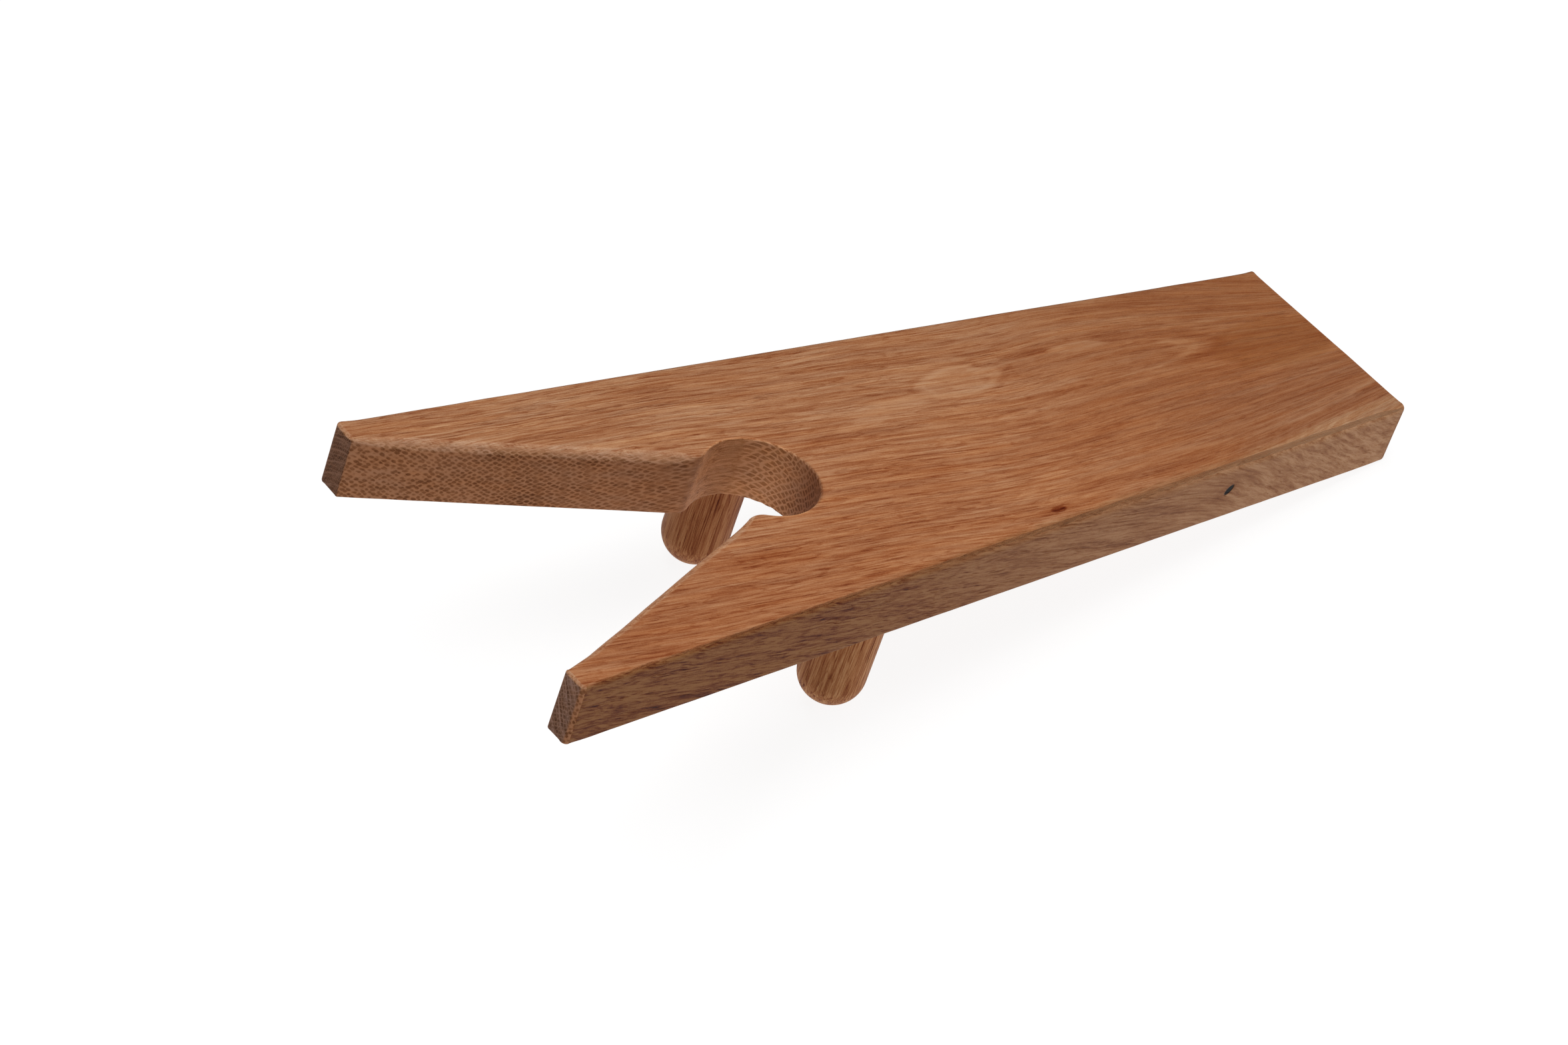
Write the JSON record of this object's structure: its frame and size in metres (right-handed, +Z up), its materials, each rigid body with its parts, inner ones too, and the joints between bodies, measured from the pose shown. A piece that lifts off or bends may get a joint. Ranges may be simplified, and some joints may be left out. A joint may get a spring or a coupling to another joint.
{
  "type": "boot jack",
  "caption": "Wooden boot jack: tapered tread board with a V-shaped heel mouth opening into a round relief hole, propped at a slant on ball-ended dowel legs.",
  "frame": {"origin": "on the floor (z = 0), under the middle of the part's bounding box", "axes": "+X to the rear tread end, so the heel mouth opens to -X and is the raised end; +Y to the right of a person who treads on the rear end and faces the mouth; +Z up from the floor"},
  "size_m": [0.3476, 0.1202, 0.0835],
  "materials": {
    "oak_board": "oiled oak, flat sawn, satin",
    "oak_dowel": "oiled oak dowel, satin"
  },
  "bodies": {
    "root": {"board": "oak_board", "leg_left": "oak_dowel", "leg_right": "oak_dowel"}
  },
  "joints": []
}
